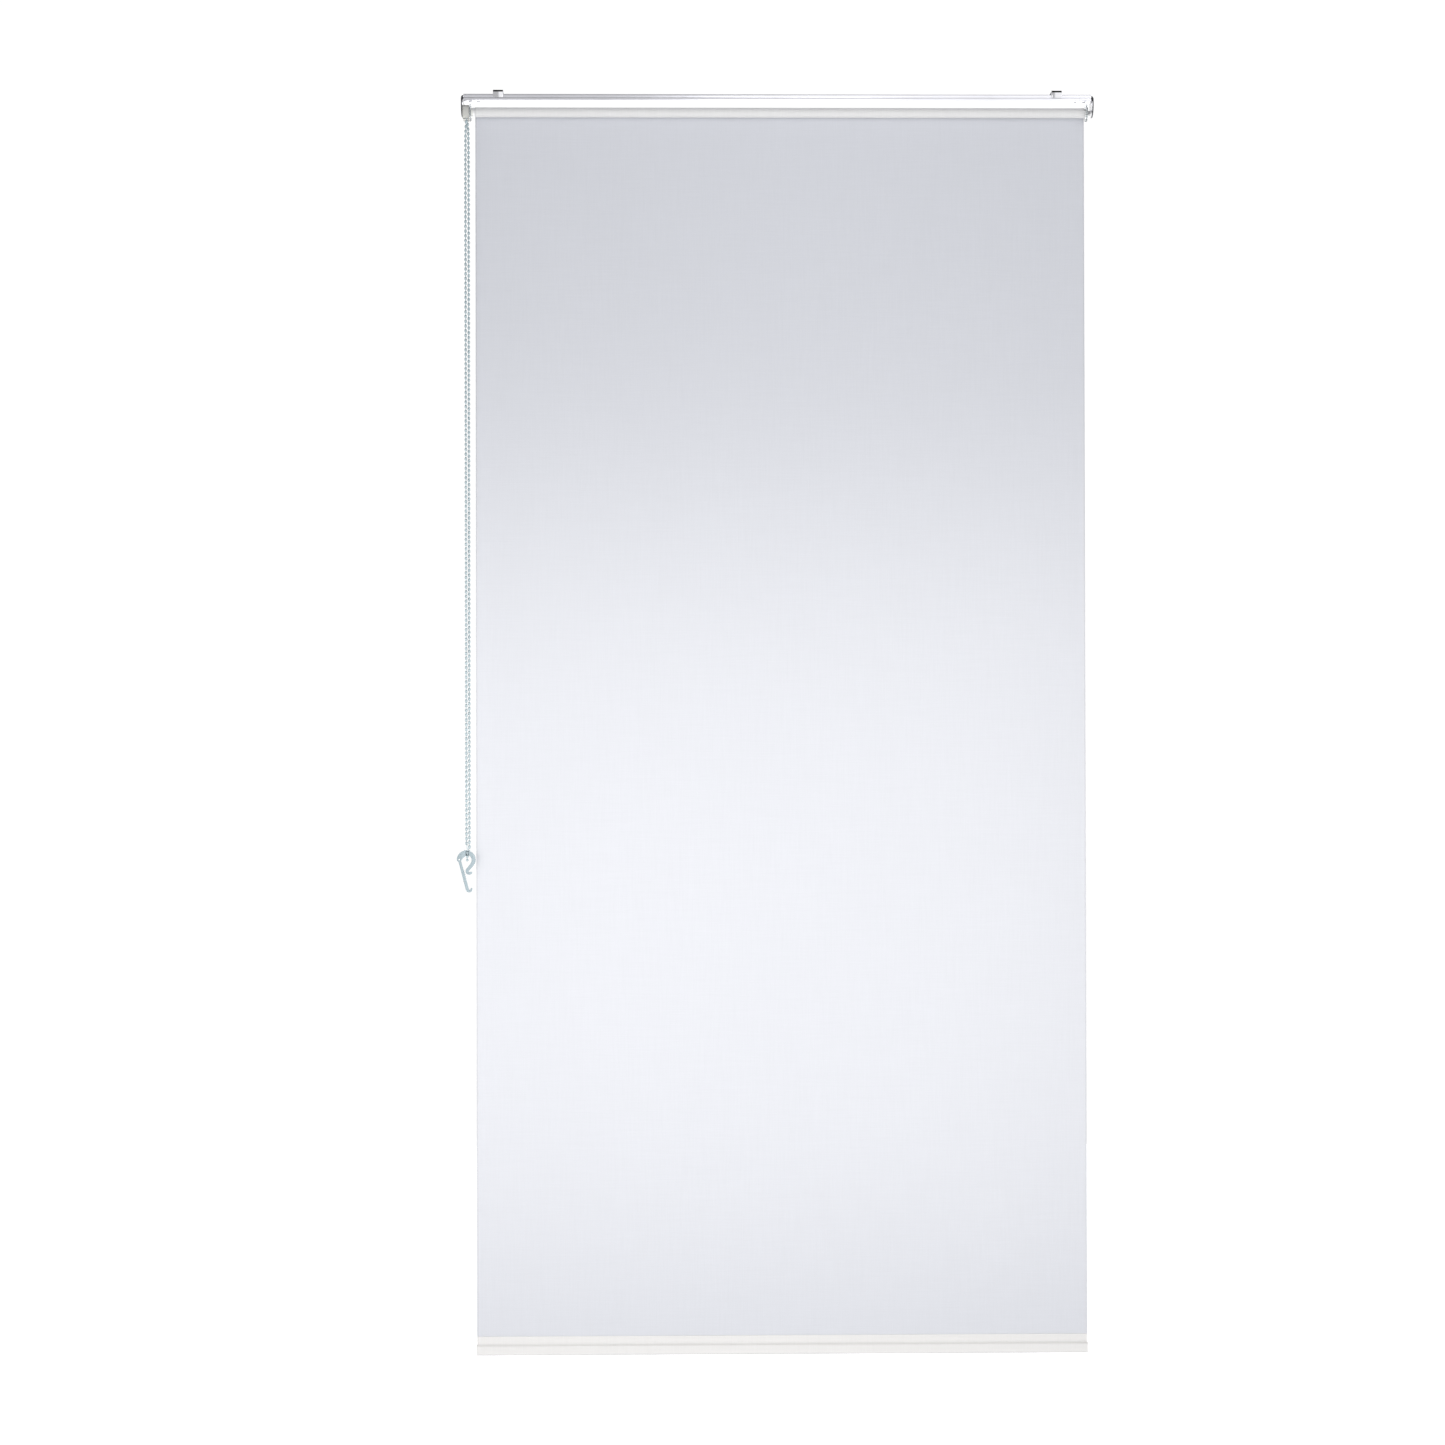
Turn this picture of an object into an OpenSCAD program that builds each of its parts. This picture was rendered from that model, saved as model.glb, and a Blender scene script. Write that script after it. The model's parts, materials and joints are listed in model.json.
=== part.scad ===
// Chain-driven roller blind, hung from the ceiling by two clips.
// Millimetres. The origin is the middle of the ceiling face of the clips, +Z is up, the room side is -Y
// and the chain is at the -X end. The fabric is drawn fully lowered.

/* [Blind] */
// Width across the outer faces of the end brackets
blind_w = 1200; // [800:10:1800]
// Drop from the ceiling to the lowest edge of the hem
blind_h = 2400; // [1900:10:2800]
// Thickness of the fabric
fabric_t = 0.4; // [0.2:0.1:0.8]
// Fabric edge to the bracket's outer face, chain end
inset_left = 25; // [20:0.5:30]
// Fabric edge to the bracket's outer face, plain end
inset_right = 14.5; // [14:0.5:20]

/* [Ceiling clips] */
// Distance from a bracket's outer face to its clip's centre
clip_inset = 70; // [60:5:150]
// Width of a clip along the rail
clip_w = 19; // [12:1:30]
// Height of the ceiling face above the rail
clip_rise = 8; // [6:1:14]
// Thickness of the clip's spring steel
clip_t = 1.2; // [1:0.1:1.6]
// Diameter of the ceiling screw's hole
clip_hole_d = 4.5; // [3.5:0.5:5.5]

/* [Head rail] */
// Depth of the rail, front to back
rail_d = 36; // [34:1:40]
// Height of the rail
rail_h = 11; // [10:1:14]
// Wall thickness of the rail
rail_t = 1.6; // [1.4:0.1:2]

/* [End brackets] */
// Thickness of the bracket's steel
plate_t = 2; // [1.5:0.1:2]
// Depth of the bracket plate, front to back
plate_d = 40; // [36:1:44]
// Outer radius of the bend at the plate's top
bend_r = 4; // [3:0.5:5]
// Length of the tab inside the rail, beyond the bend
tab_len = 36; // [30:1:50]

/* [Roller] */
// Depth of the roller's axis below the ceiling
axis_drop = 39; // [38:0.5:45]
// Outer diameter of the roller tube
tube_d = 17; // [17:0.5:18]
// Wall thickness of the roller tube
tube_t = 1; // [0.8:0.1:1]
// Depth of the fabric wraps left on the tube
wrap_t = 1; // [0.8:0.1:1.5]
// Diameter of the clear end discs
disc_d = 33.5; // [28:0.5:34]
// Thickness of an end disc
disc_t = 3.4; // [2:0.1:3.4]

/* [Chain drive] */
// Distance between bead centres
chain_pitch = 9; // [8.8:0.1:9]
// Diameter of a bead
bead_d = 5.5; // [4.5:0.1:5.5]
// Diameter of the string that joins the beads
string_d = 1.2; // [0.8:0.1:1.2]
// Diameter of the hanging chain's plain outline
strand_d = 5; // [4:0.5:5]

/* [Hem] */
// Height of the bar pocket
pocket_h = 20; // [16:1:26]
// Thickness of the bar pocket
pocket_t = 8; // [7:0.5:9]
// Height of the sewn band above the pocket
seam_h = 16; // [8:1:18]
// How far a hem cap stands past the fabric's edge
cap_t = 1.6; // [1:0.1:2.4]

/* [Hook] */
// Thickness of the hook, front to back
hook_t = 7; // [7:0.5:8]
// Width of the hook's bow at its hinge end
bow_w = 9.2; // [8.6:0.1:9.4]
// Width of the hook's open limb
limb_w = 7.2; // [6.4:0.1:7.4]
// Thickness of the snap arm, front to back
arm_t = 2.2; // [1.8:0.1:2.4]
// Width of the snap arm at its hinge
arm_w = 5.2; // [4.4:0.1:5.4]

/* [Hidden] */
$fn = 64;

// gaps: moving parts, close fits and bores on pins
gap = 0.4;
fit = 0.05;
run = 0.08;
// how far a cut reaches past the face it opens
over = 1;

// X of the bracket faces and of the fabric's edges
half_w = blind_w / 2;
face_x = half_w - plate_t;
fabric_x0 = -half_w + inset_left;
fabric_x1 = half_w - inset_right;
fabric_w = fabric_x1 - fabric_x0;

// rail: lips above the brackets' tabs, ribs that carry the tabs, and a flat base
rail_top = -clip_rise;
rail_bottom = rail_top - rail_h;
lip_t = 1.4;
lip_w = 3;
tab_top = rail_top - lip_t - gap;
rib_top = tab_top - plate_t - gap / 2;
base_top = rail_bottom + rail_t;
rail_end = half_w - bend_r - gap;
groove_z = rib_top - 2;
groove_h = 1.4;
groove_depth = 0.8;
clip_bend_r = 2.6;

// bracket plate: straight sides down to a half-round foot
plate_top = tab_top - bend_r;
plate_side = 16;
foot_z = plate_top - plate_side;
key_w = 8;
tab_d = rail_d - 2 * rail_t - 2 * gap;
corner_r = 2;
screw_d = 3;
screw_head_d = 5.6;
screw_head_h = 1.6;
screw_x = [half_w - 16, half_w - 32];

// roller and its ends, from the brackets inwards
axis_z = -axis_drop;
tube_r = tube_d / 2;
bore_r = tube_r - tube_t;
roll_r = tube_r + wrap_t;
guard_x0 = -face_x + gap;
guard_side_t = 1;
wheel_w = 9.2;
wheel_x0 = guard_x0 + guard_side_t + gap;
wheel_x1 = wheel_x0 + wheel_w;
chain_x = (wheel_x0 + wheel_x1) / 2;
guard_x1 = wheel_x1 + gap + guard_side_t;
disc_x0 = guard_x1 + gap;
collar_left = 3.8;
collar_right = 1.8;
tube_x0 = disc_x0 + disc_t + collar_left;
disc_x1 = half_w - 9.8;
tube_x1 = disc_x1 - disc_t - collar_right;
sleeve_r = 8;
plug_r = bore_r - fit;
plug_bore_r = 6.4;
plug_len = 25;
plug_floor = 2;

// chain wheel: the beads' centres run on wheel_r
pockets = 7;
wheel_r = pockets * chain_pitch / (2 * PI);
bead_r = bead_d / 2;
swept_r = wheel_r + bead_r;
rim_r = swept_r - 0.2;
drum_r = wheel_r - 1;
pocket_r = bead_r + 0.25;
groove_w = bead_d + 0.7;
lug_w = 2.6;
lug_t = 1.2;
lug_len = 2.8;
lug_y = 7.1;

// clutch hub: a bearing for the wheel, then a thinner seat for the spring
hub_r = 5;
seat_r = 4.6;
seat_x0 = wheel_x1 + 3;
hub_x1 = tube_x0 + 20;
hub_end_len = 3;
hub_flange_r = 8;
hub_flange_t = 1.2;
hub_screw_r = 1.15;
hub_screw_len = 9;
hub_screw_head_r = 3.2;

// guard over the wheel, open below, with a tongue between the strands
guard_wall = 0.85;
guard_r = swept_r + gap + guard_wall;
mouth_z = axis_z - 14;
tongue_d = 10;
tongue_t = 0.9;
peg_y = 10.8;
peg_r = 1.3;

// springs, and the pin at the plain end
wire_d = 0.9;
brake_r = 5.3;
brake_inset = 5;
brake_turns = 11;
idler_spring_r = 4.2;
idler_spring_turns = 4;
pin_r = 3;
pin_flange_r = 6;
pin_flange_t = 2;
pin_in_plug = 20;

// hem, hanging from the back of the roll
sheet_y = roll_r;
hem_y = sheet_y + fabric_t / 2;
seam_t = 1.6;
seam_lap = 0.4;
hem_bottom = -blind_h;
pocket_z = hem_bottom + pocket_h / 2;
seam_z0 = hem_bottom + pocket_h;
seam_z1 = seam_z0 + seam_h;
cloth_t = 0.6;
bar_t = pocket_t - 2 * cloth_t - gap;
bar_h = pocket_h - 2 * cloth_t - gap;
bar_wall = 1;
bar_plug_len = 8;

// tape that fixes the fabric to the tube
tape_t = 0.2;
tape_angle = 50;

// route of the front strand of chain: x from the wheel's plane, y from the axis, z from the ceiling.
// The strands leave the wheel front and back and soon turn side by side.
STRAND = [
    [0, -10, -54], [-0.5, -10, -60], [-1.4, -9.9, -70], [-1.9, -9.7, -84], [-2.1, -9.4, -115],
    [-2.2, -9, -150], [-2.3, -8.2, -250], [-2.3, -7.5, -350], [-2.4, -6.8, -450], [-2.4, -6.1, -550],
    [-2.5, -5.4, -650], [-2.5, -4.7, -750], [-2.6, -4, -850], [-2.6, -3.3, -950], [-2.7, -2.6, -1050],
    [-2.7, -1.9, -1150], [-2.8, -1.2, -1250], [-2.8, -0.6, -1350], [-2.8, -0.2, -1400],
    [-2.8, 0, -1427], [-2.8, 0, -1440]
];

// hook, about the point where the chain's plane meets its top
hook_z = -1441;
bow_c = [-1.9, -17.4];
bow_r = 17.8;
bow_a0 = 178;
bow_a1 = -36;
bow_swell = 2.9;
limb_r = 120;
limb_a1 = -42.5;
limb_end_w = limb_w - 0.6;
curl_r = 4.2;
curl_turn = 180;
curl_w = 4.4;
pivot = bow_c + (bow_r - bow_w / 2) * [cos(bow_a0), sin(bow_a0)];
limb_c = bow_c + (bow_r - limb_w / 2 - limb_r) * [cos(bow_a1), sin(bow_a1)];
curl_c = limb_c + (limb_r + curl_r) * [cos(limb_a1), sin(limb_a1)];
arm_a = -75;
arm_len = 59;
arm_end_w = 6.2;
arm_tip_w = 3.4;
arm_curl_r = 4;
arm_curl_turn = 170;
arm_eye_r = 3.8;
tooth = 1.3;
tooth_root = 0.4;
tooth_count = 5;
tooth_pitch = 3.6;
tooth_crest = 0.8 * tooth_pitch;
tooth_start = 21;
pivot_pin_r = 1.2;
fork_r = bow_w / 2 + 1.6;
fork_gap = arm_t + 2 * gap;
socket_w = 11.4;
socket_top = 1;
socket_bottom = -10;
slot_roof = 0.8;
slot_back_y = 2.4;
tail_y = -0.5;
tail_beads = [-3.8, -11.8, -18];

// ---- helpers ----

// Extrudes a shape drawn in Y and Z along X
module along_x(x0, x1) {
    translate([x0, 0, 0]) rotate([90, 0, 90]) linear_extrude(x1 - x0) children();
}

// Round bar or disc along X about the roller's axis
module on_axis(x0, x1, r) {
    translate([x0, 0, axis_z]) rotate([0, 90, 0]) cylinder(r = r, h = x1 - x0);
}

// Ring along X about the roller's axis
module ring(x0, x1, r_out, r_in) {
    difference() {
        on_axis(x0, x1, r_out);
        on_axis(x0 - over, x1 + over, r_in);
    }
}

// Rectangle with rounded corners, about its middle
module round_rect(w, h, r) {
    square([w - 2 * r, h], center = true);
    square([w, h - 2 * r], center = true);
    for (x = [-1, 1], y = [-1, 1])
        translate([x * (w / 2 - r), y * (h / 2 - r)]) circle(r, $fn = 32);
}

// Quarter of a ring, between the +X and +Y axes
module quarter_ring(r, t) {
    intersection() {
        difference() {
            circle(r);
            circle(r - t);
        }
        square(r);
    }
}

// Points of an arc
function arc(c, r, a0, a1, n) =
    [for (i = [0 : n]) c + r * [cos(a0 + (a1 - a0) * i / n), sin(a0 + (a1 - a0) * i / n)]];

// Widths that change evenly along an arc
function taper(w0, w1, n) = [for (i = [0 : n]) w0 + (w1 - w0) * i / n];

// Unit normal of a path at one of its points
function normal(p, i) =
    let (d = p[min(i + 1, len(p) - 1)] - p[max(i - 1, 0)]) [-d[1], d[0]] / norm(d);

// Outline of a band of changing width along a path
function band(p, w) = concat(
    [for (i = [0 : len(p) - 1]) p[i] - normal(p, i) * w[i] / 2],
    [for (i = [len(p) - 1 : -1 : 0]) p[i] + normal(p, i) * w[i] / 2]
);

// Tube of the given number of sides along a path whose points are rings of a polyhedron
module sweep(path, r, sides, u_axes, v_axes) {
    n = len(path);
    points = [
        for (i = [0 : n - 1], k = [0 : sides - 1])
            path[i] + r * (cos(360 * k / sides) * u_axes[i] + sin(360 * k / sides) * v_axes[i])
    ];
    walls = [
        for (i = [0 : n - 2], k = [0 : sides - 1])
            let (a = i * sides + k, b = i * sides + (k + 1) % sides) [a, b, b + sides, a + sides]
    ];
    first = [for (k = [sides - 1 : -1 : 0]) k];
    last = [for (k = [0 : sides - 1]) (n - 1) * sides + k];
    polyhedron(points = points, faces = concat([first], walls, [last]));
}

// Coil spring about the roller's axis
module coil_spring(x0, x1, r, turns) {
    steps = 16;
    count = turns * steps;
    middle = [for (i = [0 : count]) [x0 + (x1 - x0) * i / count, 0, axis_z]];
    radial = [for (i = [0 : count]) [0, sin(360 * i / steps), cos(360 * i / steps)]];
    axial = [for (i = [0 : count]) [1, 0, 0]];
    sweep(middle + r * radial, wire_d / 2, 6, radial, axial);
}

// ---- hanging hardware ----

// Rail, open along its top, with holes in its base for the brackets' screws
module head_rail() {
    color([0.80, 0.80, 0.83])
    difference() {
        along_x(-rail_end, rail_end) {
            for (s = [-1, 1]) {
                translate([s * (rail_d - rail_t) / 2, (rail_top + rail_bottom) / 2])
                    square([rail_t, rail_h], center = true);
                for (top = [rail_top, rib_top])
                    translate([s * (rail_d - lip_w - rail_t) / 2, top - lip_t / 2])
                        square([lip_w + rail_t, lip_t], center = true);
            }
            translate([0, (base_top + rail_bottom) / 2])
                square([rail_d - rail_t, rail_t], center = true);
        }
        along_x(-half_w, half_w)
            for (s = [-1, 1])
                translate([s * rail_d / 2, groove_z])
                    square([2 * groove_depth, groove_h], center = true);
        for (s = [-1, 1], x = screw_x)
            translate([s * x, 0, rail_bottom - over])
                cylinder(d = screw_d + 2 * fit, h = rail_t + 2 * over);
    }
}

// Spring-steel clip: a ceiling plate, two legs that snap into the rail's grooves, and two feet on its lips
module ceiling_clip(x) {
    leg_y = rail_d / 2 + fit;
    flat_y = leg_y + clip_t - clip_bend_r;
    hook_h = groove_h - gap;
    leg_bottom = groove_z - hook_h / 2;
    color([0.78, 0.78, 0.80])
    difference() {
        along_x(x - clip_w / 2, x + clip_w / 2) {
            translate([0, -clip_t / 2]) square([2 * flat_y, clip_t], center = true);
            for (s = [-1, 1]) {
                translate([s * (leg_y + clip_t / 2), (leg_bottom - clip_bend_r) / 2])
                    square([clip_t, -leg_bottom - clip_bend_r], center = true);
                translate([s * flat_y, -clip_bend_r])
                    mirror([s < 0 ? 1 : 0, 0]) quarter_ring(clip_bend_r, clip_t);
                translate([s * (leg_y - groove_depth / 4 + clip_t / 4), groove_z])
                    square([groove_depth + clip_t / 2, hook_h], center = true);
                translate([s * (rail_d / 2 - lip_w), -clip_rise / 2])
                    square([clip_t, clip_rise], center = true);
            }
        }
        translate([x, 0, -clip_t - over]) cylinder(d = clip_hole_d, h = clip_t + 2 * over);
    }
}

module ceiling_clip_left() { ceiling_clip(-half_w + clip_inset); }

module ceiling_clip_right() { ceiling_clip(half_w - clip_inset); }

// Bent steel bracket for the +X end
module bracket() {
    bend_x = half_w - bend_r;
    difference() {
        union() {
            translate([bend_x - tab_len, -tab_d / 2, tab_top - plate_t]) cube([tab_len, tab_d, plate_t]);
            translate([bend_x, tab_d / 2, plate_top]) rotate([90, 0, 0])
                linear_extrude(tab_d) quarter_ring(bend_r, plate_t);
            along_x(face_x, half_w) {
                translate([0, (plate_top + foot_z) / 2])
                    square([plate_d, plate_top - foot_z - 2 * corner_r], center = true);
                translate([0, (plate_top + foot_z) / 2])
                    square([plate_d - 2 * corner_r, plate_top - foot_z], center = true);
                for (s = [-1, 1])
                    translate([s * (plate_d / 2 - corner_r), plate_top - corner_r]) circle(corner_r);
                translate([0, foot_z + corner_r]) circle(plate_d / 2);
            }
        }
        for (x = screw_x)
            translate([x, 0, tab_top - plate_t - over])
                cylinder(d = screw_d + 2 * fit, h = plate_t + 2 * over);
    }
}

module end_bracket_left() {
    color([0.83, 0.84, 0.86])
    difference() {
        mirror([1, 0, 0]) bracket();
        along_x(-half_w - over, -face_x + over) {
            translate([0, axis_z]) square(key_w + 2 * fit, center = true);
            for (s = [-1, 1]) translate([s * peg_y, axis_z]) circle(peg_r + fit);
        }
    }
}

module end_bracket_right() {
    color([0.83, 0.84, 0.86])
    difference() {
        bracket();
        on_axis(face_x - over, half_w + over, pin_r + fit);
    }
}

module bracket_screws() {
    color([0.70, 0.70, 0.72])
    for (s = [-1, 1], x = screw_x)
        translate([s * x, 0, rail_bottom - screw_head_h]) {
            cylinder(d = screw_head_d, h = screw_head_h);
            cylinder(d = screw_d, h = tab_top - rail_bottom + screw_head_h);
        }
}

// ---- clutch at the chain end ----

module clutch_hub() {
    color([0.92, 0.92, 0.90])
    difference() {
        union() {
            along_x(-half_w + fit, -face_x) translate([0, axis_z]) square(key_w, center = true);
            on_axis(-face_x, -face_x + hub_flange_t, hub_flange_r);
            on_axis(-face_x, seat_x0, hub_r);
            on_axis(seat_x0 - over, hub_x1 - hub_end_len + over, seat_r);
            on_axis(hub_x1 - hub_end_len, hub_x1, hub_r);
        }
        on_axis(hub_x1 - hub_screw_len - over, hub_x1 + over, hub_screw_r + fit);
    }
}

module brake_spring() {
    color([0.55, 0.56, 0.58])
    coil_spring(wheel_x1 + brake_inset, hub_x1 - brake_inset, brake_r, brake_turns);
}

module hub_screw() {
    color([0.70, 0.70, 0.72]) {
        on_axis(hub_x1 - hub_screw_len, hub_x1 + screw_head_h, hub_screw_r);
        on_axis(hub_x1, hub_x1 + screw_head_h, hub_screw_head_r);
    }
}

// Round above the axis, straight down to the mouth
module guard_outline(r) {
    translate([0, axis_z]) circle(r);
    translate([-r, mouth_z]) square([2 * r, axis_z - mouth_z]);
}

// Guard with two pegs that stop it turning on the bracket
module chain_guard() {
    inner_r = guard_r - guard_wall;
    color([0.72, 0.74, 0.72, 0.8]) {
        difference() {
            along_x(guard_x0, guard_x1) guard_outline(guard_r);
            along_x(guard_x0 + guard_side_t, guard_x1 - guard_side_t) {
                guard_outline(inner_r);
                translate([-inner_r, mouth_z - over]) square([2 * inner_r, 2 * over]);
            }
            on_axis(guard_x0 - over, guard_x0 + guard_side_t + over, hub_flange_r + gap);
            on_axis(guard_x1 - guard_side_t - over, guard_x1 + over, sleeve_r + gap);
        }
        translate([guard_x0, -tongue_d / 2, mouth_z]) cube([guard_x1 - guard_x0, tongue_d, tongue_t]);
        for (s = [-1, 1])
            translate([-half_w + fit, s * peg_y, axis_z]) rotate([0, 90, 0])
                cylinder(r = peg_r, h = guard_x0 + half_w);
    }
}

module chain_wheel() {
    color([0.90, 0.92, 0.93])
    difference() {
        union() {
            on_axis(wheel_x0, wheel_x1, drum_r);
            on_axis(wheel_x0, chain_x - groove_w / 2, rim_r);
            on_axis(chain_x + groove_w / 2, wheel_x1, rim_r);
            // lugs that lift the ends of the brake spring
            for (s = [-1, 1])
                translate([wheel_x1 - over, s * lug_y - lug_t / 2, axis_z - lug_w / 2])
                    cube([over + lug_len, lug_t, lug_w]);
        }
        on_axis(wheel_x0 - over, wheel_x1 + over, hub_r + run);
        for (i = [0 : pockets - 1])
            translate([chain_x, 0, axis_z]) rotate([i * 360 / pockets, 0, 0])
                translate([0, 0, wheel_r]) sphere(pocket_r);
    }
}

module drive_plug() {
    color([0.90, 0.90, 0.88])
    difference() {
        union() {
            on_axis(wheel_x1 + gap / 2, tube_x0, sleeve_r);
            on_axis(disc_x0 + disc_t, tube_x0, tube_r);
            on_axis(tube_x0 - over, tube_x0 + plug_len, plug_r);
        }
        on_axis(wheel_x1 - over, tube_x0 + plug_len - plug_floor, plug_bore_r);
        // slot for the wheel's lugs
        translate([wheel_x1 - over, -sleeve_r - over, axis_z - (lug_w + gap) / 2])
            cube([over + lug_len + gap, 2 * (sleeve_r + over), lug_w + gap]);
    }
}

// ---- roller ----

module roller_tube() {
    color([0.82, 0.83, 0.85]) ring(tube_x0, tube_x1, tube_r, bore_r);
}

module flange_disc(x0, hole_r) {
    color([0.88, 0.92, 0.95, 0.5]) ring(x0, x0 + disc_t, disc_d / 2, hole_r);
}

module flange_disc_left() { flange_disc(disc_x0, sleeve_r + fit); }

module flange_disc_right() { flange_disc(disc_x1 - disc_t, sleeve_r + fit); }

module idler_plug() {
    color([0.90, 0.90, 0.88])
    difference() {
        union() {
            on_axis(tube_x1 - plug_len, tube_x1 + over, plug_r);
            on_axis(tube_x1, disc_x1 - disc_t, tube_r);
            on_axis(disc_x1 - disc_t - over, disc_x1 + gap, sleeve_r);
        }
        on_axis(tube_x1 - plug_len - over, disc_x1 + over, pin_r + run);
    }
}

// Pin that carries the plain end, pushed out by its spring
module idler_pin() {
    color([0.75, 0.75, 0.78]) {
        on_axis(tube_x1 - pin_in_plug, half_w - fit, pin_r);
        on_axis(face_x - pin_flange_t, face_x, pin_flange_r);
    }
}

module idler_spring() {
    color([0.55, 0.56, 0.58])
    coil_spring(disc_x1 + gap + wire_d, face_x - pin_flange_t - wire_d, idler_spring_r, idler_spring_turns);
}

// Strip along the tube's whole fabric width
module tape_strip(grow) {
    translate([fabric_x0 - grow, 0, axis_z]) rotate([0, 90, 0]) rotate_extrude(angle = tape_angle)
        translate([tube_r - grow, 0]) square([tape_t + 2 * grow, fabric_w + 2 * grow]);
}

module fixing_tape() {
    color([0.93, 0.93, 0.88]) tape_strip(0);
}

module fabric_roll() {
    color([0.86, 0.87, 0.89])
    difference() {
        ring(fabric_x0, fabric_x1, roll_r, tube_r);
        tape_strip(fit);
    }
}

module fabric_sheet() {
    color([0.90, 0.90, 0.93])
    translate([fabric_x0, sheet_y, seam_z1]) cube([fabric_w, fabric_t, axis_z - seam_z1]);
}

// ---- hem ----

module hem_pocket() {
    color([0.90, 0.89, 0.88])
    along_x(fabric_x0, fabric_x1) {
        translate([hem_y, pocket_z]) difference() {
            round_rect(pocket_t, pocket_h, pocket_t / 2 - fit);
            round_rect(pocket_t - 2 * cloth_t, pocket_h - 2 * cloth_t, pocket_t / 2 - cloth_t - fit);
        }
        translate([hem_y, seam_z0 + (seam_h - seam_lap) / 2])
            square([seam_t, seam_h + seam_lap], center = true);
    }
}

module bar_shape(inset) {
    translate([hem_y, pocket_z]) round_rect(bar_t - 2 * inset, bar_h - 2 * inset, bar_t / 2 - inset - fit);
}

module hem_bar() {
    color([0.90, 0.86, 0.80])
    along_x(fabric_x0, fabric_x1) difference() {
        bar_shape(0);
        bar_shape(bar_wall);
    }
}

module hem_cap_left() {
    color([0.92, 0.92, 0.91]) {
        along_x(fabric_x0 - cap_t, fabric_x0)
            translate([hem_y, pocket_z]) round_rect(pocket_t, pocket_h, pocket_t / 2 - fit);
        along_x(fabric_x0 - cap_t / 2, fabric_x0 + bar_plug_len) bar_shape(bar_wall + fit);
    }
}

module hem_cap_right() {
    color([0.92, 0.92, 0.91]) {
        along_x(fabric_x1, fabric_x1 + cap_t)
            translate([hem_y, pocket_z]) round_rect(pocket_t, pocket_h, pocket_t / 2 - fit);
        along_x(fabric_x1 - bar_plug_len, fabric_x1 + cap_t / 2) bar_shape(bar_wall + fit);
    }
}

// ---- bead chain ----

// The stretch over the top of the wheel: string and the beads that sit in pockets
module bead_chain_arc() {
    in_arc = floor(pockets / 4);
    color([0.84, 0.89, 0.92])
    translate([chain_x, 0, axis_z]) {
        rotate([0, 90, 0]) rotate([0, 0, 90]) rotate_extrude(angle = 180)
            translate([wheel_r, 0]) circle(d = string_d, $fn = 24);
        for (i = [-in_arc : in_arc])
            rotate([i * 360 / pockets, 0, 0]) translate([0, 0, wheel_r]) sphere(bead_r, $fn = 32);
    }
}

// A hanging strand, turned about the wheel's plane by side = 1 or -1
module strand(side) {
    path = [for (p = STRAND) [chain_x + side * p[0], side * p[1], p[2]]];
    color([0.84, 0.89, 0.92])
    sweep(path, strand_d / 2, 8, [for (p = path) [0, 1, 0]], [for (p = path) [1, 0, 0]]);
}

module bead_chain_front() { strand(1); }

module bead_chain_rear() { strand(-1); }

module bead_chain_tail() {
    color([0.84, 0.89, 0.92])
    translate([chain_x, tail_y, hook_z]) {
        for (z = tail_beads) translate([0, 0, z]) sphere(bead_r, $fn = 32);
        translate([0, 0, min(tail_beads)]) cylinder(d = string_d, h = -min(tail_beads), $fn = 24);
    }
}

// ---- hook ----

// Extrudes a shape drawn in X and Z, about the hook's top, through a thickness in Y
module hook_plate(t) {
    translate([chain_x, t / 2, hook_z]) rotate([90, 0, 0]) linear_extrude(t) children();
}

module hook_outline() {
    bow_n = 18;
    limb_n = 6;
    curl_n = 12;
    // the bow swells between its hinge and its socket
    bow_width = [for (i = [0 : bow_n])
        bow_w + (limb_w - bow_w) * i / bow_n + bow_swell * sin(min(360 * i / bow_n, 180))];
    bow_path = [for (i = [0 : bow_n])
        let (a = bow_a0 + (bow_a1 - bow_a0) * i / bow_n)
        bow_c + (bow_r - bow_width[i] / 2) * [cos(a), sin(a)]];
    curl_a0 = limb_a1 + 180;
    path = concat(
        bow_path,
        [for (i = [1 : limb_n]) arc(limb_c, limb_r, bow_a1, limb_a1, limb_n)[i]],
        [for (i = [1 : curl_n]) arc(curl_c, curl_r, curl_a0, curl_a0 + curl_turn, curl_n)[i]]
    );
    width = concat(
        bow_width,
        [for (i = [1 : limb_n]) taper(limb_w, limb_end_w, limb_n)[i]],
        [for (i = [1 : curl_n]) taper(limb_end_w, curl_w, curl_n)[i]]
    );
    polygon(band(path, width));
    translate(pivot) circle(bow_w / 2);
    translate(path[len(path) - 1]) circle(curl_w / 2, $fn = 32);
    translate([-socket_w / 2, socket_bottom]) square([socket_w, socket_top - socket_bottom]);
}

module hook_body() {
    slot_w = bead_d + gap;
    color([0.78, 0.86, 0.90])
    difference() {
        hook_plate(hook_t) hook_outline();
        // fork for the snap arm
        hook_plate(fork_gap) translate(pivot) circle(fork_r);
        // hole for the pivot pin
        hook_plate(hook_t + 2 * over) translate(pivot) circle(pivot_pin_r + fit / 2);
        // slot for the end beads, open to the front and below
        translate([chain_x - slot_w / 2, -hook_t / 2 - over, hook_z + socket_bottom - over])
            cube([slot_w, slot_back_y + hook_t / 2 + over, -socket_bottom - slot_roof + over]);
        // hole for the string
        translate([chain_x, tail_y, hook_z - over]) cylinder(d = string_d + gap, h = socket_top + 2 * over);
    }
}

module hook_pin() {
    color([0.80, 0.82, 0.84])
    hook_plate(hook_t) translate(pivot) circle(pivot_pin_r);
}

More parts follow.
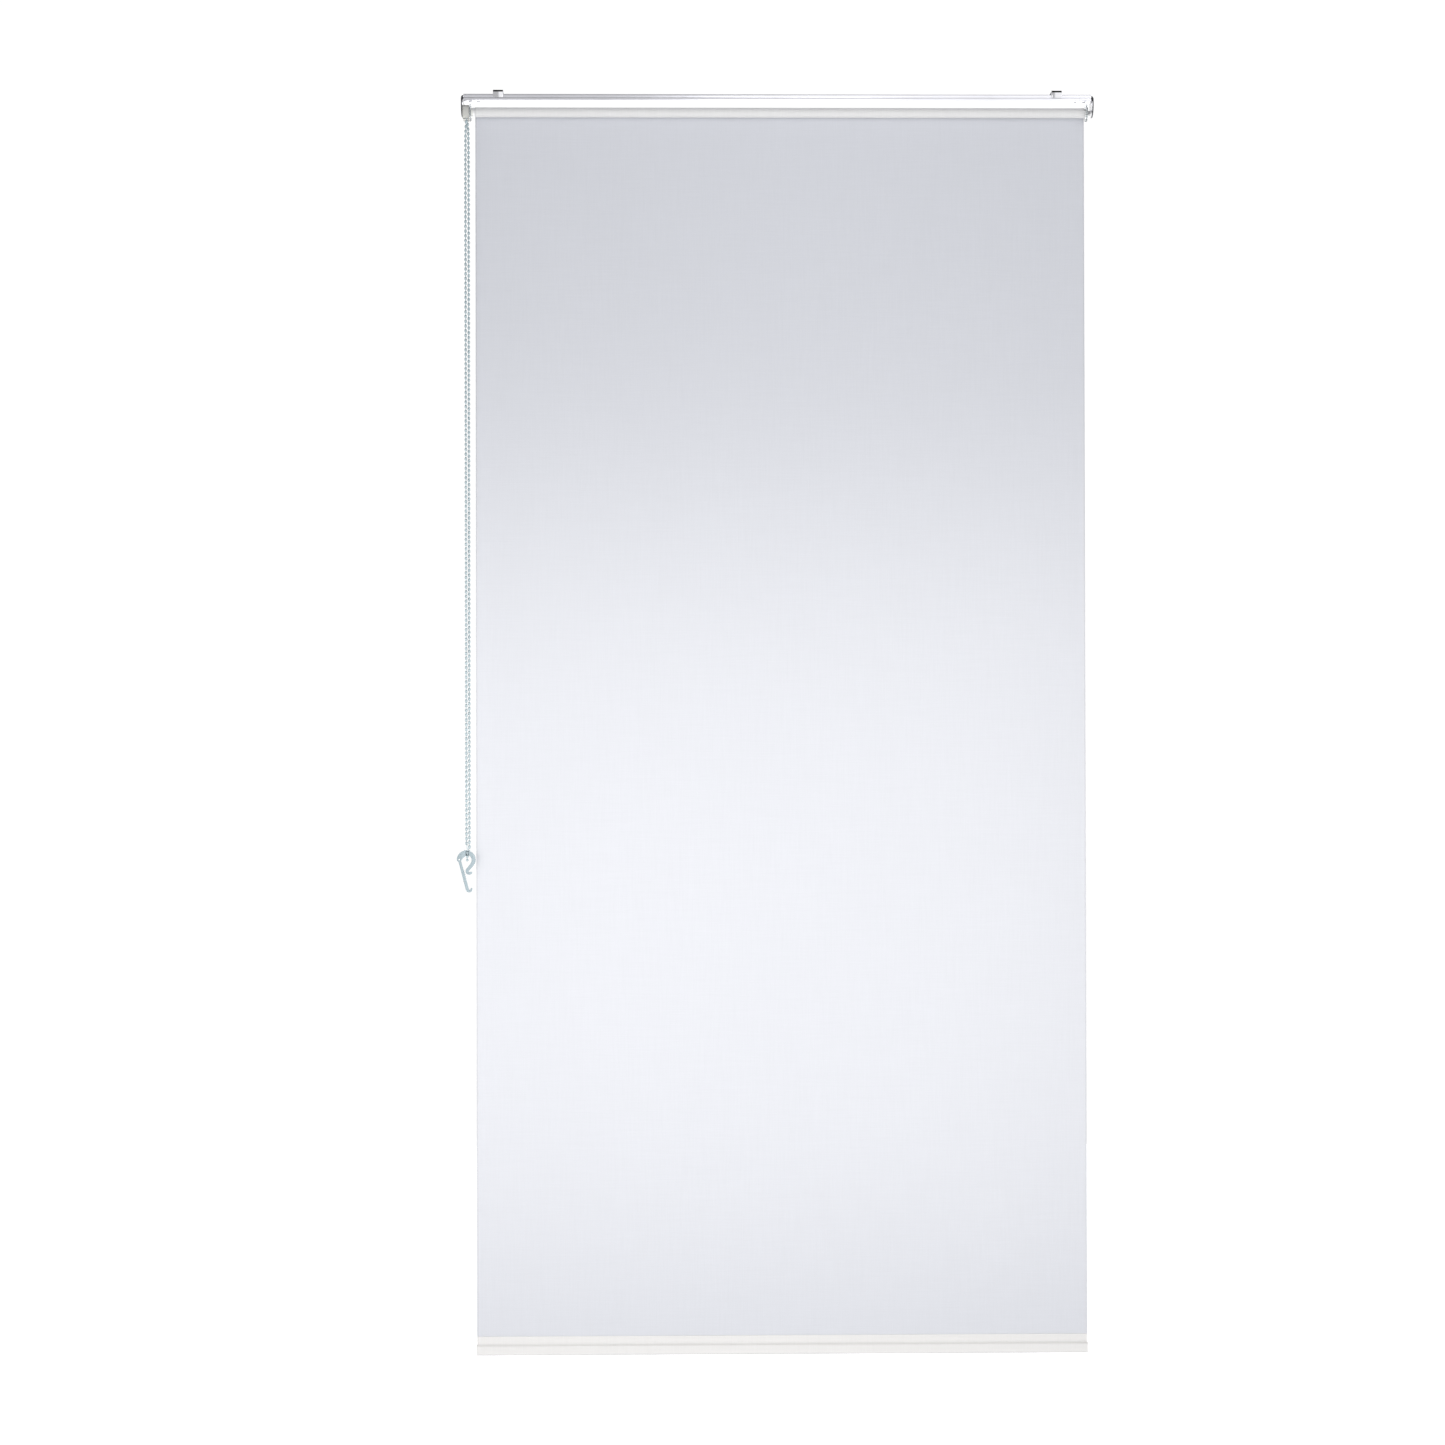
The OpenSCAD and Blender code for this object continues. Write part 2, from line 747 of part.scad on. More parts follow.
module hook_arm() {
    curl_n = 12;
    along = [cos(arm_a), sin(arm_a)];
    across = [-along[1], along[0]];
    curl = arc(pivot + arm_len * along + arm_curl_r * across, arm_curl_r, arm_a - 90,
        arm_a - 90 + arm_curl_turn, curl_n);
    path = concat([pivot], curl);
    width = concat([arm_w], taper(arm_end_w, arm_tip_w, curl_n));
    tooth_base = arm_w / 2 - tooth_root;
    color([0.80, 0.87, 0.92])
    difference() {
        hook_plate(arm_t) {
            polygon(band(path, width));
            translate(pivot) circle(arm_eye_r);
            translate(path[len(path) - 1]) circle(arm_tip_w / 2, $fn = 32);
            for (i = [0 : tooth_count - 1])
                let (p = pivot + (tooth_start + i * tooth_pitch) * along + tooth_base * across)
                    polygon([
                        p,
                        p + tooth_pitch * along,
                        p + tooth_crest * along + (tooth + tooth_root) * across
                    ]);
        }
        hook_plate(hook_t) translate(pivot) circle(pivot_pin_r + run);
    }
}

head_rail();
ceiling_clip_left();
ceiling_clip_right();
end_bracket_left();
end_bracket_right();
bracket_screws();
clutch_hub();
brake_spring();
hub_screw();
chain_guard();
idler_pin();
idler_spring();
fabric_sheet();
roller_tube();
chain_wheel();
drive_plug();
idler_plug();
flange_disc_left();
flange_disc_right();
fabric_roll();
fixing_tape();
bead_chain_arc();
hem_pocket();
hem_bar();
hem_cap_left();
hem_cap_right();
bead_chain_front();
bead_chain_rear();
bead_chain_tail();
hook_body();
hook_pin();
hook_arm();
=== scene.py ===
"""Roller blind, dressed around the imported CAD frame. Metres, +Z up, the room side is -Y."""
import json
import math
import random

import bmesh
import bpy
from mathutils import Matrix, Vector

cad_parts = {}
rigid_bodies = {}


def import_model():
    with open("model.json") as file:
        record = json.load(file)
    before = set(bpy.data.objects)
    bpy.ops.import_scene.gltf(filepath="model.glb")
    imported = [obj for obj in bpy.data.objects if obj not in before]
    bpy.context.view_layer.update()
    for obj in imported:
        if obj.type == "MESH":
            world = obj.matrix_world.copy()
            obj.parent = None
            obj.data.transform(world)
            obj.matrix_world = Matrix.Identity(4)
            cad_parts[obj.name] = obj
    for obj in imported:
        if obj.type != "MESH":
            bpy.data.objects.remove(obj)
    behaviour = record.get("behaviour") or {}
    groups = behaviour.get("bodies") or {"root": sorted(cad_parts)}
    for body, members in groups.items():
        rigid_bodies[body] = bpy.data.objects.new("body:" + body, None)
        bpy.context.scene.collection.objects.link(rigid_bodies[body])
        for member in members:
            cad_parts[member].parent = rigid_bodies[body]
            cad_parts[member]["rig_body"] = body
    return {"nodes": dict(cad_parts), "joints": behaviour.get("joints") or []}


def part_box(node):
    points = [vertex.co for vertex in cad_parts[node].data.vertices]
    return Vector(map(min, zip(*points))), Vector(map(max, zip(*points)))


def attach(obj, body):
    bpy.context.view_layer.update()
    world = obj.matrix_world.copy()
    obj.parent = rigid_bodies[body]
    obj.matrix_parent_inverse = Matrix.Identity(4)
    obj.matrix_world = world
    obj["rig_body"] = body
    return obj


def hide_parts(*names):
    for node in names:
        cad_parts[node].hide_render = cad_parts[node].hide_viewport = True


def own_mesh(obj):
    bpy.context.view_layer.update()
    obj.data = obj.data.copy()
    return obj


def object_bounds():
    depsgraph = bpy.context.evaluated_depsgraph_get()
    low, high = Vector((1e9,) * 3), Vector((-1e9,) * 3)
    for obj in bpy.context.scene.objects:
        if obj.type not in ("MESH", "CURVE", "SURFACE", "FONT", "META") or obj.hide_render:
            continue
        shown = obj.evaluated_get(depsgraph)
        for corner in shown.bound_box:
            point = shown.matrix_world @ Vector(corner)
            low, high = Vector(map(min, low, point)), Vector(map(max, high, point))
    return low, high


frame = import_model()
CAD_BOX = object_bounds()
MM = 0.001
random.seed(7)

# ---- places taken from the frame ----

JOINTS = {j["name"]: j for j in frame["joints"]}
AXIS = Vector(JOINTS["roller_turn"]["pos_m"])
SHEET_LO, SHEET_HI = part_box("fabric_sheet")
ROLL_LO, ROLL_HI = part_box("fabric_roll")
HEM_LO, HEM_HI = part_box("hem_pocket")
WHEEL_LO, WHEEL_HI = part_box("chain_wheel")
CHAIN_X = (WHEEL_LO.x + WHEEL_HI.x) / 2
BEAD_D = 5.5 * MM
STRING_R = 0.75 * MM
PITCH = 9 * MM
REAR_PITCH = 9.045 * MM      # so that its beads pass the front ones as in the photo
POCKETS = 7
WHEEL_R = POCKETS * PITCH / math.tau

# route of the front strand: x from the wheel's plane, y from the axis, z from the ceiling, in mm
STRAND = [
    (0, -10, -54), (-0.5, -10, -60), (-1.4, -9.9, -70), (-1.9, -9.7, -84), (-2.1, -9.4, -115),
    (-2.2, -9, -150), (-2.3, -8.2, -250), (-2.3, -7.5, -350), (-2.4, -6.8, -450), (-2.4, -6.1, -550),
    (-2.5, -5.4, -650), (-2.5, -4.7, -750), (-2.6, -4, -850), (-2.6, -3.3, -950), (-2.7, -2.6, -1050),
    (-2.7, -1.9, -1150), (-2.8, -1.2, -1250), (-2.8, -0.6, -1350), (-2.8, -0.2, -1400),
    (-2.8, 0, -1427), (-2.8, 0, -1440),
]
# beads in step with the wheel's pockets: the first one's drop below the axis, and the guarded run
FIRST_BEAD = PITCH * math.ceil(POCKETS / 4) - WHEEL_R * math.pi / 2
GUARDED_RUN = AXIS.z - STRAND[0][2] * MM


# ---- camera ----

def make_camera():
    """In front of the blind, near its middle height, with the small turns that fit the photo."""
    data = bpy.data.cameras.new("camera")
    data.lens = 65.57
    data.sensor_width = 36
    data.clip_end = 100
    cam = bpy.data.objects.new("camera", data)
    bpy.context.scene.collection.objects.link(cam)
    cam.rotation_mode = "XYZ"
    cam.location = (-0.181, -5.0, -1.2285)
    yaw, pitch, roll = 0.0148, 0.0059, 0.0020
    cam.rotation_euler = (math.pi / 2 + pitch, roll, -yaw)
    bpy.context.scene.camera = cam
    return cam


# ---- mesh helpers ----

def add_mesh(name, verts, faces, smooth_angle=35):
    mesh = bpy.data.meshes.new(name)
    mesh.from_pydata([tuple(v) for v in verts], [], faces)
    mesh.validate()
    return add_object(name, mesh, smooth_angle)


def add_object(name, mesh, smooth_angle=35):
    obj = bpy.data.objects.new(name, mesh)
    bpy.context.scene.collection.objects.link(obj)
    shade(obj, smooth_angle)
    return obj


def shade(obj, angle):
    """Smooth shading that keeps edges sharper than the angle, in degrees."""
    for face in obj.data.polygons:
        face.use_smooth = True
    obj.data.set_sharp_from_angle(angle=math.radians(angle))


def apply_modifiers(obj, smooth_angle=35):
    """Replaces the object's mesh by the one its modifiers make."""
    graph = bpy.context.evaluated_depsgraph_get()
    mesh = bpy.data.meshes.new_from_object(obj.evaluated_get(graph))
    obj.modifiers.clear()
    obj.data = mesh
    shade(obj, smooth_angle)
    return obj


def finish_piece(obj, body, slot, material, *nodes):
    """Gives a new piece its material and its body, and hides the CAD nodes it stands for. The slot is not
    used.
    """
    obj.data.materials.clear()
    obj.data.materials.append(material)
    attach(obj, body)
    if nodes:
        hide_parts(*nodes)
    return obj


def rounded_copy(node, width, segments, material, slot):
    """A copy of a CAD node with its hard edges rounded over, standing for that node."""
    source = frame["nodes"][node]
    bm = bmesh.new()
    bm.from_mesh(source.data)
    bmesh.ops.remove_doubles(bm, verts=bm.verts, dist=1e-6)
    bmesh.ops.dissolve_limit(bm, angle_limit=math.radians(0.5), verts=bm.verts, edges=bm.edges)
    mesh = bpy.data.meshes.new(node + "_shell")
    bm.to_mesh(mesh)
    bm.free()
    obj = add_object(node + "_shell", mesh)
    bevel = obj.modifiers.new("edges", "BEVEL")
    bevel.width = width
    bevel.segments = segments
    bevel.limit_method = "ANGLE"
    bevel.angle_limit = math.radians(35)
    bevel.use_clamp_overlap = True
    bevel.miter_outer = "MITER_ARC"
    apply_modifiers(obj)
    return finish_piece(obj, source["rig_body"], slot, material, node)


def lathe(name, profile, steps=96):
    """A closed ring about the roller's axis from points of (x, radius)."""
    verts, faces = [], []
    count = len(profile)
    for i in range(steps):
        a = math.tau * i / steps
        for x, r in profile:
            verts.append((x, AXIS.y + r * math.cos(a), AXIS.z + r * math.sin(a)))
    for i in range(steps):
        j = (i + 1) % steps
        for k in range(count):
            m = (k + 1) % count
            faces.append((i * count + k, i * count + m, j * count + m, j * count + k))
    return add_mesh(name, verts, faces)


def extrude_loop(name, loop_at, stations, closed_ends=True, smooth_angle=35):
    """A solid whose outline at each station is loop_at(station): the same number of points each time."""
    verts, faces = [], []
    loops = [loop_at(s) for s in stations]
    count = len(loops[0])
    for loop in loops:
        verts += loop
    for i in range(len(stations) - 1):
        for k in range(count):
            m = (k + 1) % count
            faces.append((i * count + k, (i + 1) * count + k, (i + 1) * count + m, i * count + m))
    if closed_ends:
        faces.append(tuple(range(count)))
        faces.append(tuple((len(stations) - 1) * count + k for k in reversed(range(count))))
    return add_mesh(name, verts, faces, smooth_angle)


def smoothstep(t):
    t = min(1.0, max(0.0, t))
    return t * t * (3 - 2 * t)


# ---- material helpers ----

def darker(colour, share):
    return tuple(c * share for c in colour)


class Tree:
    """A short way to write a node tree."""

    def __init__(self, tree):
        self.tree = tree

    def add(self, kind, **inputs):
        node = self.tree.nodes.new(kind)
        for key, value in inputs.items():
            self.set(node, key.replace("_", " "), value)
        return node

    def set(self, node, key, value):
        socket = node.inputs[key]
        if isinstance(value, bpy.types.NodeSocket):
            self.tree.links.new(value, socket)
        elif isinstance(value, (tuple, list)) and socket.type == "RGBA" and len(value) == 3:
            socket.default_value = (*value, 1)
        else:
            socket.default_value = value

    def remap(self, value, low, high, to_low, to_high):
        node = self.add("ShaderNodeMapRange", Value=value)
        for key, number in (("From Min", low), ("From Max", high), ("To Min", to_low), ("To Max", to_high)):
            node.inputs[key].default_value = number
        return node.outputs["Result"]

    def math(self, operation, a, b=0.0):
        node = self.add("ShaderNodeMath")
        node.operation = operation
        for socket, value in zip(node.inputs, (a, b)):
            if isinstance(value, bpy.types.NodeSocket):
                self.tree.links.new(value, socket)
            else:
                socket.default_value = value
        return node.outputs["Value"]

    def blend(self, factor, a, b):
        node = self.add("ShaderNodeMix")
        node.data_type = "RGBA"
        for socket, value in ((node.inputs[0], factor), (node.inputs[6], a), (node.inputs[7], b)):
            if isinstance(value, bpy.types.NodeSocket):
                self.tree.links.new(value, socket)
            else:
                socket.default_value = value if isinstance(value, float) else (*value, 1)
        return node.outputs[2]


class Nodes(Tree):
    """A short way to write a material, with its places in the object's own metres."""

    def __init__(self, name):
        self.material = bpy.data.materials.new(name)
        self.material.use_nodes = True
        super().__init__(self.material.node_tree)
        self.shader = self.tree.nodes["Principled BSDF"]
        self.place = self.add("ShaderNodeTexCoord").outputs["Object"]

    def shade(self, **inputs):
        for key, value in inputs.items():
            self.set(self.shader, key.replace("_", " "), value)
        return self

    def stretched(self, x=1, y=1, z=1):
        mapping = self.add("ShaderNodeMapping", Vector=self.place)
        mapping.inputs["Scale"].default_value = (x, y, z)
        return mapping.outputs["Vector"]

    def noise(self, scale, detail=3, where=None, rough=0.5):
        node = self.add("ShaderNodeTexNoise", Vector=where or self.place, Scale=scale, Detail=detail)
        node.inputs["Roughness"].default_value = rough
        return node.outputs["Fac"]

    def bump(self, height, strength, distance, under=None):
        node = self.add("ShaderNodeBump", Height=height, Strength=strength, Distance=distance)
        if under is not None:
            self.tree.links.new(under, node.inputs["Normal"])
        return node.outputs["Normal"]


# painted reflection: the black that stands for the dark surroundings seen in the clips' top bend
PAINTED_REFLECTION_BLACK = (0.03, 0.03, 0.03)


def metal(name, colour, rough, streak=(1, 60, 60), grain=0.10, depth=0.02 * MM, painted_reflection_from=None):
    """Metal with drawn streaks along X and slight tarnish, and a painted black reflection of the dark
    surroundings past one distance from the middle plane and above one height if they are given."""
    n = Nodes(name)
    streaks = n.noise(90, 4, n.stretched(*streak))
    cloud = n.noise(14, 2)
    tone = n.blend(n.remap(cloud, 0.3, 0.7, 0.0, 1.0), colour, darker(colour, 0.93))
    # painted reflection: black on the top bend, for the dark surroundings it would reflect
    if painted_reflection_from:
        off, height = painted_reflection_from
        split = n.add("ShaderNodeSeparateXYZ", Vector=n.place)
        reflection_mask = n.math("MULTIPLY", n.remap(split.outputs["Z"], height, height + 0.6 * MM, 0.0, 1.0),
                       n.remap(n.math("ABSOLUTE", split.outputs["Y"]), off, off + 0.3 * MM, 0.0, 1.0))
        tone = n.blend(reflection_mask, tone, PAINTED_REFLECTION_BLACK)
    polish = n.remap(streaks, 0.25, 0.75, rough - grain, rough + grain)
    n.shade(Base_Color=tone, Metallic=1.0, Roughness=polish, Normal=n.bump(streaks, 0.25, depth))
    return n.material


TAB_D = 32 * MM          # the bracket's tab, front to back
BEND_H = 5.6 * MM        # from the tab's top down past the bend
OUTLINE_REFLECTION_REACH = 0.3 * MM      # how far the painted dark reflection reaches in from the outline
# the painted dark reflection along the brackets' outline
OUTLINE_REFLECTION_BLACK = (0.06, 0.06, 0.065)


def plated(name, colour, lo, hi, rough=0.14):
    """Bright plated steel for the end brackets, with a painted dark reflection along its outline:
    round the plate's straight sides and half-round foot, and along the bend and the tab above it."""
    n = Nodes(name)
    fine = n.noise(60, 3)
    x, y, z = n.add("ShaderNodeSeparateXYZ", Vector=n.place).outputs
    half = (hi.y - lo.y) / 2
    below = n.math("MINIMUM", n.math("SUBTRACT", z, lo.z + half), 0.0)
    reach = n.math("SQRT", n.math("ADD", n.math("MULTIPLY", y, y), n.math("MULTIPLY", below, below)))
    plate_outline_reflection = n.remap(reach, half - OUTLINE_REFLECTION_REACH, half - 0.5 * OUTLINE_REFLECTION_REACH, 0.0, 1.0)
    tab_outline_reflection = n.remap(n.math("ABSOLUTE", y), TAB_D / 2 - OUTLINE_REFLECTION_REACH, TAB_D / 2 - 0.5 * OUTLINE_REFLECTION_REACH, 0.0, 1.0)
    on_bend = n.remap(z, hi.z - BEND_H, hi.z - BEND_H + 0.04 * MM, 0.0, 1.0)
    # painted dark reflection along the outline, where the steel is also rougher
    edge = n.math("MAXIMUM", plate_outline_reflection, n.math("MULTIPLY", tab_outline_reflection, on_bend))
    polish = n.math("ADD", n.remap(fine, 0.3, 0.7, rough - 0.04, rough + 0.05), n.math("MULTIPLY", edge, 0.2))
    n.shade(Base_Color=n.blend(edge, colour, OUTLINE_REFLECTION_BLACK), Metallic=1.0, Roughness=polish,
            Normal=n.bump(fine, 0.08, 0.02 * MM))
    return n.material


def moulded(name, colour, rough=0.38, clear=0.0, ior=1.49, tint=0.05):
    """Moulded plastic with a fine spark-eroded grain, milky where clear is above 0."""
    n = Nodes(name)
    grain = n.noise(1400, 2)
    cloud = n.noise(60, 2)
    tone = n.blend(n.remap(cloud, 0.3, 0.7, 0.0, 1.0), colour, darker(colour, 1 - tint))
    n.shade(Base_Color=tone, Roughness=n.remap(grain, 0.3, 0.7, rough - 0.04, rough + 0.05),
            Transmission_Weight=clear, IOR=ior, Normal=n.bump(grain, 0.12, 0.02 * MM))
    return n.material


WEAVE = 0.55 * MM                          # from thread to thread
CUT_LINE = (1.4 * MM, 2.6 * MM)            # in from a cut edge, where its dark tone fades
FOLD_SHADE_SPAN = (1.2 * MM, 2.8 * MM)           # up from the hem's fold, where its painted shade fades


def woven(name, colour, shade_colour, edges=None, through=0.25, fold=None):
    """Coated plain weave: crossing threads, slubs, mottling, darker cut edges at two X places, and
    a painted shade along the fold just above one height."""
    n = Nodes(name)
    split = n.add("ShaderNodeSeparateXYZ", Vector=n.place)
    x, z = split.outputs["X"], split.outputs["Z"]
    across = n.math("SINE", n.math("MULTIPLY", x, math.tau / WEAVE))
    along = n.math("SINE", n.math("MULTIPLY", z, math.tau / WEAVE))
    checks = n.math("MULTIPLY", across, along)
    threads = n.math("MULTIPLY", n.math("ADD", across, along), 0.25)
    ridge = n.math("ADD", threads, n.math("MULTIPLY", checks, 0.5))
    slub_weft = n.noise(34, 5, n.stretched(0.5, 1, 26), 0.62)
    slub_warp = n.noise(34, 5, n.stretched(26, 1, 0.5), 0.62)
    slubs = n.math("MULTIPLY", n.math("ADD", slub_weft, slub_warp), 0.5)
    cloud = n.noise(3.2, 3)
    tone = n.blend(n.remap(slubs, 0.36, 0.64, 0.0, 1.0), shade_colour, colour)
    tone = n.blend(n.remap(cloud, 0.35, 0.65, 0.0, 0.2), tone, shade_colour)
    tone = n.blend(n.remap(ridge, -1.0, 1.0, 0.16, 0.0), tone, darker(shade_colour, 0.75))
    if edges:
        near = n.math("MINIMUM", n.math("ABSOLUTE", n.math("SUBTRACT", x, edges[0])),
                      n.math("ABSOLUTE", n.math("SUBTRACT", x, edges[1])))
        cut = n.remap(near, *CUT_LINE, 0.3, 0.0)
        tone = n.blend(cut, tone, darker(shade_colour, 0.62))
    # painted shade along the hem's fold, darkest just above it
    if fold is not None:
        fold_shade = n.remap(z, fold + FOLD_SHADE_SPAN[0], fold + FOLD_SHADE_SPAN[1], 0.8, 0.0)
        tone = n.blend(fold_shade, tone, darker(shade_colour, 0.6))
    normal = n.bump(slubs, 0.18, 0.10 * MM)
    normal = n.bump(ridge, 0.35, 0.08 * MM, normal)
    n.shade(Base_Color=tone, Roughness=0.82, Specular_IOR_Level=0.25, Sheen_Weight=0.25,
            Sheen_Roughness=0.45, Normal=normal)
    back = n.add("ShaderNodeBsdfTranslucent", Color=tone)
    mix = n.add("ShaderNodeMixShader")
    mix.inputs["Fac"].default_value = through
    n.tree.links.new(n.shader.outputs["BSDF"], mix.inputs[1])
    n.tree.links.new(back.outputs["BSDF"], mix.inputs[2])
    output = next(node for node in n.tree.nodes if node.type == "OUTPUT_MATERIAL")
    n.tree.links.new(mix.outputs["Shader"], output.inputs["Surface"])
    return n.material


def make_materials():
    edges = (SHEET_LO.x, SHEET_HI.x)
    # the clips get a painted black reflection of the dark surroundings past this distance from the middle
    # plane and above this height
    clip_painted_reflection = (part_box("ceiling_clip_left")[1].y - 3 * MM, -4.2 * MM)
    return {
        "rail": metal("rail_satin", (0.68, 0.68, 0.72), 0.34),
        "clip": metal("clip_plate", (0.58, 0.58, 0.60), 0.13, (20, 20, 20), 0.04, painted_reflection_from=clip_painted_reflection),
        "bracket": plated("bracket_plate", (0.84, 0.84, 0.86), *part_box("end_bracket_left"), 0.24),
        "steel": metal("zinc_steel", (0.80, 0.80, 0.81), 0.34, (20, 20, 20)),
        "screw": metal("screw_zinc", (0.86, 0.86, 0.87), 0.38, (20, 20, 20)),
        "wire": metal("spring_wire", (0.62, 0.62, 0.63), 0.32, (60, 10, 10)),
        "tube": metal("tube_mill", (0.80, 0.80, 0.81), 0.42),
        "white": moulded("white_moulding", (0.74, 0.74, 0.72)),
        "cap": moulded("cap_moulding", (0.76, 0.76, 0.75), 0.42),
        "guard": moulded("smoky_moulding", (0.73, 0.73, 0.70), 0.34, 0.40, 1.45, 0.03),
        "disc": moulded("clear_moulding", (0.90, 0.93, 0.95), 0.08, 0.94, 1.49, 0.02),
        "wheel": moulded("wheel_moulding", (0.80, 0.82, 0.83), 0.25, 0.5),
        "bead": moulded("bead_moulding", (0.46, 0.55, 0.59), 0.18, 0.34),
        "hook": moulded("hook_moulding", (0.30, 0.37, 0.41), 0.26, 0.18),
        "tape": moulded("tape_film", (0.80, 0.79, 0.70), 0.5, 0.3),
        "bar": moulded("bar_enamel", (0.72, 0.66, 0.58), 0.30),
        "fabric": woven("sheet_weave", (0.665, 0.678, 0.722), (0.63, 0.643, 0.685), edges, 0.25),
        # the roll's cloth is the sheet's, painted lighter for the light it catches
        "roll": woven("roll_weave_painted_lighter", (0.71, 0.71, 0.715), (0.66, 0.66, 0.665), (ROLL_LO.x, ROLL_HI.x), 0.12),
        # the hem's cloth, with a painted shade just above its fold
        "hem": woven("hem_weave", (0.72, 0.715, 0.715), (0.68, 0.675, 0.675), None, 0.12, HEM_LO.z),
        "thread": moulded("thread", (0.80, 0.80, 0.81), 0.7),
    }


# ---- bead chain ----

def resample(points, step):
    """Points every step along a polyline, with the distance of each, and its end."""
    found, left, total = [], 0.0, 0.0
    for a, b in zip(points, points[1:]):
        span = (b - a).length
        while left <= span:
            found.append((a + (b - a) * (left / span), total + left))
            left += step
        left -= span
        total += span
    return found, total


BEAD_STRETCH = 1.35      # a bead's length over its diameter
BEAD_NECK = 0.35         # from a pole to its nearest ring, in steps between rings


def add_bead(verts, faces, centre, direction, radius, sides=14, rings=7, stretch=BEAD_STRETCH):
    """A bead: a slightly long ball with flat ends where the string comes out."""
    up = direction.normalized()
    side = up.orthogonal().normalized()
    other = up.cross(side)
    base = len(verts)
    for i in range(rings + 1):
        a = math.pi * (i + BEAD_NECK) / (rings + 2 * BEAD_NECK)
        for k in range(sides):
            b = math.tau * k / sides
            ring = math.sin(a) * radius
            rise = math.cos(a) * radius * stretch
            verts.append(centre + up * rise + side * (ring * math.cos(b)) + other * (ring * math.sin(b)))
    for i in range(rings):
        for k in range(sides):
            m = (k + 1) % sides
            faces.append((base + i * sides + k, base + (i + 1) * sides + k,
                          base + (i + 1) * sides + m, base + i * sides + m))
    faces.append(tuple(base + k for k in range(sides)))
    faces.append(tuple(base + rings * sides + k for k in reversed(range(sides))))


def add_string(verts, faces, path, radius, sides=8):
    base = len(verts)
    for i, p in enumerate(path):
        run = (path[min(i + 1, len(path) - 1)] - path[max(i - 1, 0)]).normalized()
        side = run.cross(Vector((0.9, 0.31, 0.3))).normalized()
        other = run.cross(side)
        for k in range(sides):
            b = math.tau * k / sides
            verts.append(p + side * (radius * math.cos(b)) + other * (radius * math.sin(b)))
    for i in range(len(path) - 1):
        for k in range(sides):
            m = (k + 1) % sides
            faces.append((base + i * sides + k, base + i * sides + m,
                          base + (i + 1) * sides + m, base + (i + 1) * sides + k))
    faces.append(tuple(base + k for k in reversed(range(sides))))
    faces.append(tuple(base + (len(path) - 1) * sides + k for k in range(sides)))


def strand_path(side):
    return [Vector((CHAIN_X + side * x * MM, side * y * MM, z * MM)) for x, y, z in STRAND]


# the string's last two points, which bend in just above the hook: inwards and up from the
# route's end, in mm
STRING_END = ((1.4, 2.6), (2.4, 0.6))


def make_strand(name, side, pitch):
    """One hanging strand: the string and a bead every pitch, in step with the wheel's pockets."""
    path = strand_path(side)
    verts, faces = [], []
    string_end = [path[-1] + Vector((side * x * MM, -0.5 * MM, z * MM)) for x, z in STRING_END]
    add_string(verts, faces, path[:-1] + string_end, STRING_R)
    marks, total = resample(path, 0.25 * MM)
    wanted = FIRST_BEAD + PITCH * math.ceil((GUARDED_RUN - FIRST_BEAD) / PITCH) - GUARDED_RUN
    last = total - 0.8 * BEAD_D
    for i, (p, run) in enumerate(marks[:-1]):
        if run >= wanted and run <= last:
            add_bead(verts, faces, p, marks[i + 1][0] - p, BEAD_D / 2)
            wanted += pitch
    return add_mesh(name, verts, faces, 60), path


def make_chains(materials):
    made = []
    for name, side, pitch, node in (
            ("chain_strand_front", 1, PITCH, "bead_chain_front"),
            ("chain_strand_rear", -1, REAR_PITCH, "bead_chain_rear")):
        obj, path = make_strand(name, side, pitch)
        finish_piece(obj, "chain", "chain_plastic", materials["bead"], node)
        made.append(obj)
    return made


def make_chain_arc(materials):
    """The stretch of chain in the wheel's pockets."""
    def at(a):
        return Vector((CHAIN_X, AXIS.y + WHEEL_R * math.sin(a), AXIS.z + WHEEL_R * math.cos(a)))

    verts, faces = [], []
    add_string(verts, faces, [at(math.pi * (i / 24 - 0.5)) for i in range(25)], STRING_R)
    for i in (-1, 0, 1):
        a = math.tau * i / POCKETS
        add_bead(verts, faces, at(a), at(a + 0.1) - at(a - 0.1), BEAD_D / 2)
    obj = add_mesh("chain_over_wheel", verts, faces, 60)
    return finish_piece(obj, "roller", "chain_plastic", materials["bead"], "bead_chain_arc")


def make_guarded_runs(materials):
    """The two short runs inside the guard, from the wheel to its mouth, which don't swing."""
    verts, faces = [], []
    down = Vector((0, 0, -1))
    for side in (-1, 1):
        top = Vector((CHAIN_X, side * STRAND[0][1] * MM, AXIS.z))
        add_string(verts, faces, [top + down * (GUARDED_RUN * i / 4) for i in range(5)], STRING_R)
        for drop in (FIRST_BEAD, FIRST_BEAD + PITCH):
            add_bead(verts, faces, top + down * drop, down, BEAD_D / 2)
    obj = add_mesh("chain_in_guard", verts, faces, 60)
    return finish_piece(obj, "frame", "chain_plastic", materials["bead"])


TAIL_DROPS = (3.8 * MM, 11.8 * MM, 18.0 * MM)    # of its beads, below the tail's top


def make_chain_tail(materials):
    """The beads held in the hook's slot and the one below it."""
    lo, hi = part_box("bead_chain_tail")
    centre = (lo + hi) / 2
    verts, faces = [], []
    top = Vector((centre.x, centre.y, hi.z))
    down = Vector((0, 0, -1))
    add_string(verts, faces, [top + down * (i * TAIL_DROPS[2] / 6) for i in range(7)], STRING_R)
    for d in TAIL_DROPS:
        add_bead(verts, faces, top + down * d, down, BEAD_D / 2, 20, 11, 1.0)
    obj = add_mesh("chain_tail", verts, faces, 60)
    return finish_piece(obj, "chain", "chain_plastic", materials["bead"], "bead_chain_tail")


# ---- cloth ----

